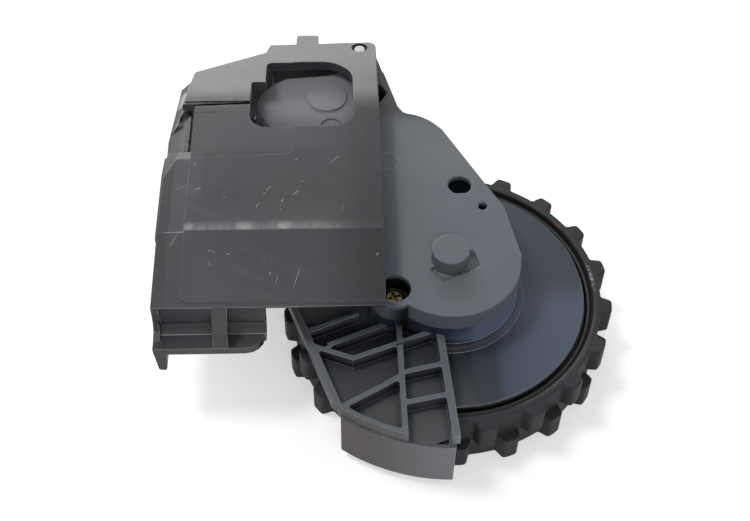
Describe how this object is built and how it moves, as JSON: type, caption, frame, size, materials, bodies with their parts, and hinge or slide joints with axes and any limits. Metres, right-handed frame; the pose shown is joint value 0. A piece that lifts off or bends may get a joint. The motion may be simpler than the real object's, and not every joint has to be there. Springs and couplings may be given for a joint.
{
  "type": "robot vacuum wheel module",
  "caption": "Sprung drive wheel of a robot vacuum: a geared motor arm with a treaded wheel and fender, hung on a pin under a moulded bracket.",
  "frame": {"origin": "Centre of the wheel: the point on its axis halfway across the tyre.", "axes": "+Z is the wheel's axis, from its outer side towards the gearbox; +Y runs along the bracket from the wheel towards the pivot pin; +X points out of the robot towards the floor that the wheel runs on."},
  "size_m": [0.0954, 0.1076, 0.0315],
  "materials": {
    "bracket_plastic": "fine spark-eroded texture, scratched along the crease",
    "gearbox_plastic": "fine moulded texture, dusty",
    "hub_plastic": "plain moulded",
    "tyre_rubber": "worn soft rubber, dusty",
    "seal_rubber": "oiled",
    "gear_plastic": "natural acetal, greased",
    "bush_plastic": "natural bearing plastic",
    "steel": "ground",
    "spring_steel": "drawn wire, plated",
    "bearing_steel": "ground",
    "motor_steel": "nickel plated, drawn",
    "motor_plastic": "plain moulded",
    "brass_screw": "plated, used",
    "brass_contact": "bright",
    "board_laminate": "solder mask",
    "header_plastic": "natural nylon"
  },
  "bodies": {
    "bracket": {"bracket": "bracket_plastic", "pivot_pin": "steel", "pin_clip": "spring_steel", "suspension_spring": "spring_steel"},
    "arm": {"upper_bush": "bush_plastic", "lower_bush": "bush_plastic", "gearbox_cover": "gearbox_plastic", "gearbox_base": "gearbox_plastic", "case_screws": "brass_screw", "motor_can": "motor_steel", "motor_end_cap": "motor_plastic", "motor_terminals": "brass_contact", "motor_board": "board_laminate", "board_header": "header_plastic", "header_pins": "brass_contact", "motor_screws": "steel", "first_gear_pin": "steel", "second_gear_pin": "steel", "third_gear_pin": "steel", "inner_bearing": "bearing_steel", "outer_bearing": "bearing_steel", "axle_seal": "seal_rubber"},
    "motor_rotor": {"motor_shaft": "steel", "motor_pinion": "brass_contact"},
    "first_gear_body": {"first_gear": "gear_plastic"},
    "second_gear_body": {"second_gear": "gear_plastic"},
    "third_gear_body": {"third_gear": "gear_plastic"},
    "wheel": {"output_gear": "gear_plastic", "wheel_axle": "steel", "wheel_hub": "hub_plastic", "tyre": "tyre_rubber", "wheel_washer": "steel", "wheel_screw": "steel"}
  },
  "joints": [
    {"name": "arm_swing", "type": "hinge", "parent": "bracket", "child": "arm", "pos_m": [-0.0175, 0.0619, 0.01], "axis": [0, 0, -1], "range_deg": [0, 15], "stiffness_Nm_per_rad": 0.2, "springref_deg": -34.38, "deforming": ["suspension_spring"]},
    {"name": "wheel_spin", "type": "hinge", "parent": "arm", "child": "wheel", "pos_m": [0, 0, 0], "axis": [0, 0, 1], "continuous": true},
    {"name": "third_gear_spin", "type": "hinge", "parent": "arm", "child": "third_gear_body", "pos_m": [-0.00814, 0.01283, 0.012], "axis": [0, 0, 1], "continuous": true},
    {"name": "second_gear_spin", "type": "hinge", "parent": "arm", "child": "second_gear_body", "pos_m": [-0.01554, 0.02449, 0.012], "axis": [0, 0, 1], "continuous": true},
    {"name": "first_gear_spin", "type": "hinge", "parent": "arm", "child": "first_gear_body", "pos_m": [-0.02358, 0.03715, 0.012], "axis": [0, 0, 1], "continuous": true},
    {"name": "motor_spin", "type": "hinge", "parent": "arm", "child": "motor_rotor", "pos_m": [-0.02457, 0.0466, 0.012], "axis": [0, 0, 1], "continuous": true}
  ],
  "couplings": [
    {"joint": "third_gear_spin", "follows": "wheel_spin", "ratio": -2.4545},
    {"joint": "second_gear_spin", "follows": "wheel_spin", "ratio": 5.6104},
    {"joint": "first_gear_spin", "follows": "wheel_spin", "ratio": -17.766},
    {"joint": "motor_spin", "follows": "wheel_spin", "ratio": 66.623}
  ]
}
